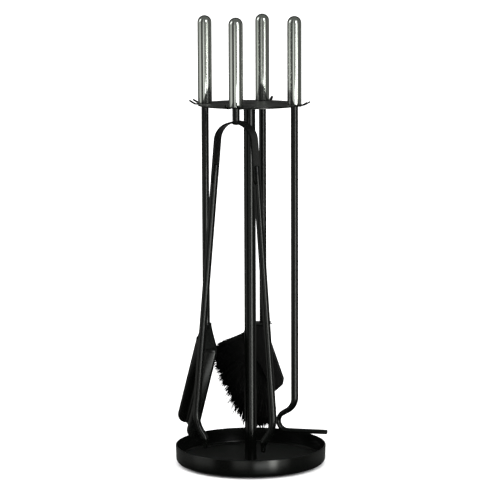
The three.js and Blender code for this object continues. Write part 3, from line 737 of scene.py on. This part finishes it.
# %% Strand tree
group = bpy.data.node_groups.new("Strands", "GeometryNodeTree")
sockets = {}
for name, kind, default in (
        ("Roots", "NodeSocketGeometry", None),
        ("Strands per square metre", "NodeSocketFloat", 2.0e6),
        ("Strand radius", "NodeSocketFloat", 0.0003),
        ("Stray", "NodeSocketFloat", 0.05),
        ("Curl", "NodeSocketFloat", 0.0015),
        ("Seed", "NodeSocketInt", 7)):
    sockets[name] = group.interface.new_socket(name, in_out="INPUT", socket_type=kind)
    if default is not None:
        sockets[name].default_value = default
group.interface.new_socket("Geometry", in_out="OUTPUT", socket_type="NodeSocketGeometry")
g = Tree(group)
source = group.nodes.new("NodeGroupInput")
given = {s.name: Signal(g, s) for s in source.outputs if s.name}


def vector_math(operation, first, second=None, output=0, scale=None):
    """A Vector Math node; `output` is a name for an operation that gives a number."""
    inputs = {0: first}
    if second is not None:
        inputs[1] = second
    if scale is not None:
        inputs["Scale"] = scale
    return g.add("ShaderNodeVectorMath", {"operation": operation}, inputs, output=output)


def chance(low, high, offset, kind="FLOAT"):
    """A seeded random value for each strand."""
    low_in, high_in, out = (0, 1, 0) if kind == "FLOAT_VECTOR" else (2, 3, 1)
    inputs = {low_in: low, high_in: high, "Seed": given["Seed"] + offset}
    return g.add("FunctionNodeRandomValue", {"data_type": kind}, inputs, output=out)


scatter = g.add("GeometryNodeDistributePointsOnFaces", {"distribute_method": "RANDOM"}, {
    "Mesh": given["Roots"], "Density": given["Strands per square metre"], "Seed": given["Seed"]})
reach = g.add("GeometryNodeInputNamedAttribute", {"data_type": "FLOAT_VECTOR"}, {"Name": "reach"})
length = vector_math("LENGTH", reach, output="Value")
sideways = chance((-1, -1, -1), (1, 1, 1), 1, "FLOAT_VECTOR")
stray = vector_math("SCALE", sideways, scale=length * given["Stray"])
cut_short = 0.26 * (chance(0.0, 1.0, 2) ** 2.0)
strand = vector_math("ADD", vector_math("SCALE", reach, scale=1.0 - cut_short), stray)
facing = g.add("FunctionNodeAlignRotationToVector", {"axis": "Z"}, {"Vector": strand})
strand_length = vector_math("LENGTH", strand, output="Value")
size = g.add("ShaderNodeCombineXYZ", inputs={0: 1.0, 1: 1.0, 2: strand_length})
line = g.add("GeometryNodeCurvePrimitiveLine", {"mode": "POINTS"}, {
    "Start": (0, 0, 0), "End": (0, 0, 1)})
line = g.add("GeometryNodeResampleCurve", inputs={"Curve": line, "Count": 5})
bend = chance((-1, -1, -1), (1, 1, 1), 3, "FLOAT_VECTOR")
marked = g.add("GeometryNodeStoreNamedAttribute", {"data_type": "FLOAT_VECTOR", "domain": "POINT"},
               {"Geometry": scatter, "Name": "bend", "Value": bend})
stood = g.add("GeometryNodeInstanceOnPoints", inputs={
    "Points": marked, "Instance": line, "Rotation": facing, "Scale": size})
real = g.add("GeometryNodeRealizeInstances", inputs={"Geometry": stood})

# %% [markdown]
# The strands are real lines now, so each point knows how far along its strand it is. That drives the curl
# and the taper. Each strand still holds the random direction that was stored on its root.

# %% Curl, taper and skin
travel = g.add("GeometryNodeSplineParameter", output="Factor")
held = g.add("GeometryNodeInputNamedAttribute", {"data_type": "FLOAT_VECTOR"}, {"Name": "bend"})
curled = vector_math("SCALE", held, scale=given["Curl"] * (travel ** 2.0))
bent = g.add("GeometryNodeSetPosition", inputs={"Geometry": real, "Offset": curled})
tapered = g.add("GeometryNodeSetCurveRadius", inputs={
    "Curve": bent, "Radius": 1.0 - 0.55 * (travel ** 3.0)})
rim = g.add("GeometryNodeCurvePrimitiveCircle", {"mode": "RADIUS"}, {
    "Resolution": 3, "Radius": given["Strand radius"]})
swept = g.add("GeometryNodeCurveToMesh", inputs={
    "Curve": tapered, "Profile Curve": rim, "Fill Caps": True})
whole = g.add("GeometryNodeRealizeInstances", inputs={"Geometry": swept})
painted = g.add("GeometryNodeSetMaterial", inputs={
    "Geometry": whole, "Material": FINISHES["bristle_black"]})
group.links.new(painted.socket, group.nodes.new("NodeGroupOutput").inputs[0])
print("strand tree:", len(group.nodes), "nodes")

# %% Grow the tuft
grower = bpy.data.objects.new("grower", roots)
bpy.context.scene.collection.objects.link(grower)
growth = grower.modifiers.new("Strands", "NODES")
growth.node_group = group
TUFT = {"Strands per square metre": 1.9e6, "Strand radius": 0.00034, "Stray": 0.085,
        "Curl": 0.0036, "Seed": 11}
for name, value in TUFT.items():
    growth[sockets[name].identifier] = value
bpy.context.view_layer.update()
tuft = bpy.data.meshes.new_from_object(grower.evaluated_get(bpy.context.evaluated_depsgraph_get()))
bpy.data.objects.remove(grower)
piece("tuft", tuft, "bristle_black", "brush", ["brush_bristles"], sharp=180)
print("tuft:", len(tuft.polygons), "faces")

# %% [markdown]
# ## Pieces that stay as the CAD gave them
# The bolt, the plugs in the post and the thread inserts are seen only when a tool is taken off. Their CAD
# meshes are good enough, and they get the zinc finish.

# %% Carried-over nodes
for name, node in frame["nodes"].items():
    if not node.hide_render:
        node.data.materials.clear()
        node.data.materials.append(FINISHES["zinc"])
        print("kept:", name)

# %% [markdown]
# ## Studio
# The set stands on a pale floor in even light. Polished steel and satin black show little of their own:
# what one sees in them is the room. So the room has a tall bright panel to the right of the camera,
# dimmer ones to its left, and dark walls. The panels are drawn in the world as soft vertical bands, which
# light the gloss without noise, while the even part of the world lights everything else.

# %% Floor
floor_mesh = bpy.data.meshes.new("floor")
bm = bmesh.new()
bmesh.ops.create_grid(bm, x_segments=1, y_segments=1, size=60)
bm.to_mesh(floor_mesh)
bm.free()
floor = bpy.data.objects.new("floor", floor_mesh)
bpy.context.scene.collection.objects.link(floor)
tree, shader, where = start_finish("floor_paint", 0.9, specular=0.0)
mottle = speckle(tree, where, 3, detail=2)
pale = blend_colours(tree, mottle, (0.93, 0.93, 0.93), (0.95, 0.95, 0.95))
tree.feed(shader.inputs["Base Color"], pale)
floor_mesh.materials.append(FINISHES["floor_paint"])
floor.visible_glossy = False

# %% [markdown]
# The bands stand round the set like screens. A colour ramp goes once round the room: its stops are
# degrees from the camera, positive to the right, with a level of light at each. The screens fade near the
# floor, above the horizon and overhead, so that the tray and the plate, which mirror what is above them,
# stay dark. One low patch of light picks out the near wall of the pan.

# %% Panels in the world
CAMERA_SIDE = -73.5             # degrees from +X to the camera, seen from the post
EVEN_LIGHT = 1.8
PANELS = (
    (-180, 0.13), (-150, 0.13), (-125, 0.15), (-102, 0.30),
    (-88, 0.80), (-64, 0.80), (-54, 0.05), (-30, 0.04),         # left panel, then dark wall
    (-23, 1.05), (-6, 1.05), (1, 0.10), (14, 0.12),             # panel by the camera, dark wall
    (20, 1.0), (27, 1.5), (30, 12.0), (38, 12.0), (41, 1.5), (54, 1.1),     # right panel, bright core
    (63, 0.12), (92, 0.12), (112, 0.22), (150, 0.13), (180, 0.13))

world = bpy.data.worlds.new("studio")
bpy.context.scene.world = world
world.use_nodes = True
w = Tree(world.node_tree)
background = world.node_tree.nodes["Background"]
direction = w.add("ShaderNodeTexCoord", output="Generated")
from_camera = w.add("ShaderNodeVectorRotate", {"rotation_type": "Z_AXIS"}, {
    "Vector": direction, "Angle": radians(-CAMERA_SIDE)})
forward, aside, climb = [
    w.add("ShaderNodeSeparateXYZ", inputs={0: from_camera}, output=axis) for axis in range(3)]
round_room = w.add("ShaderNodeMath", {"operation": "ARCTAN2"}, {0: aside, 1: forward}) * (0.5 / pi) + 0.5
degrees_round = round_room * 360.0 - 180.0


def rise(value, low, high):
    """A soft step from 0 to 1 as the value goes from low to high."""
    return w.add("ShaderNodeMapRange", {"interpolation_type": "SMOOTHSTEP"},
                 {"Value": value, "From Min": low, "From Max": high})


def mixed(factor, first, second, blend="MIX"):
    """The first colour where the factor is 0, the second where it is 1."""
    return w.add("ShaderNodeMix", {"data_type": "RGBA", "blend_type": blend},
                 {"Factor": factor, 6: first, 7: second}, output=2)


stops = [((a + 180) / 360, (level * 0.98, level, level * 0.95)) for a, level in PANELS]
panels = w.add("ShaderNodeValToRGB", {"stops": stops}, {"Fac": round_room})
low_glow = (rise(degrees_round, 2, 9) * (1.0 - rise(degrees_round, 24, 30))
            * (1.0 - rise(climb, -0.21, -0.165)))
with_glow = mixed(low_glow, panels, (5.2, 5.4, 5.2, 1))
above_floor = mixed(rise(climb, -0.31, -0.23), (0.04, 0.04, 0.04, 1), with_glow)
softer_above = mixed(rise(climb, -0.045, 0.01), above_floor, (0.38, 0.40, 0.38, 1), blend="DARKEN")
under_ceiling = mixed(rise(climb, 0.55, 0.9), softer_above, (0.16, 0.17, 0.16, 1))
behind_set = rise(climb, 0.12, 0.26) * rise(0.0 - forward, 0.2, 0.7)
room = mixed(behind_set, under_ceiling, (0.03, 0.03, 0.03, 1))
gloss = w.add("ShaderNodeLightPath", output="Is Glossy Ray")
seen = mixed(gloss, (EVEN_LIGHT, EVEN_LIGHT, EVEN_LIGHT, 1), room)
w.feed(background.inputs["Color"], seen)
background.inputs["Strength"].default_value = 1.0
print("world:", len(world.node_tree.nodes), "nodes")

# %% [markdown]
# Two weak lamps stand where the panels are drawn. They add a trace of light from the side.

# %% Lamps
def lamp(name, spot, aim, size, power):
    """A rectangular lamp in metres and watts, turned to face a point."""
    data = bpy.data.lights.new(name, "AREA")
    data.shape, data.size, data.size_y, data.energy = "RECTANGLE", size[0], size[1], power
    made = bpy.data.objects.new(name, data)
    made.location = spot
    made.rotation_mode = "QUATERNION"
    made.rotation_quaternion = (Vector(aim) - Vector(spot)).to_track_quat("-Z", "Y")
    bpy.context.scene.collection.objects.link(made)
    return made


lamp("right_panel", (2.1, -1.9, 1.5), (0, 0, 0.3), (0.9, 1.8), 26)
lamp("left_panel", (-2.3, -1.0, 1.6), (0, 0, 0.25), (0.8, 1.6), 9)

# %% [markdown]
# ## Camera
# A long lens from about three metres keeps the verticals parallel. It looks down by about eight degrees,
# so that the plate and the tray show as flat ellipses.

# %% Camera
ROLL = -0.22                    # degrees
eye, target = Vector((0.8946, -3.0203, 0.7490)), Vector((0, 0, 0.2946))
camera_data = bpy.data.cameras.new("camera")
camera_data.lens, camera_data.sensor_width = 168.9, 36
camera_data.clip_end = 200
camera = bpy.data.objects.new("camera", camera_data)
camera.location = eye
camera.rotation_mode = "QUATERNION"
aimed = (target - eye).to_track_quat("-Z", "Y")
camera.rotation_quaternion = aimed @ Quaternion((0, 0, 1), radians(ROLL))
bpy.context.scene.collection.objects.link(camera)
bpy.context.scene.camera = camera
bpy.context.scene.view_settings.view_transform = "Standard"
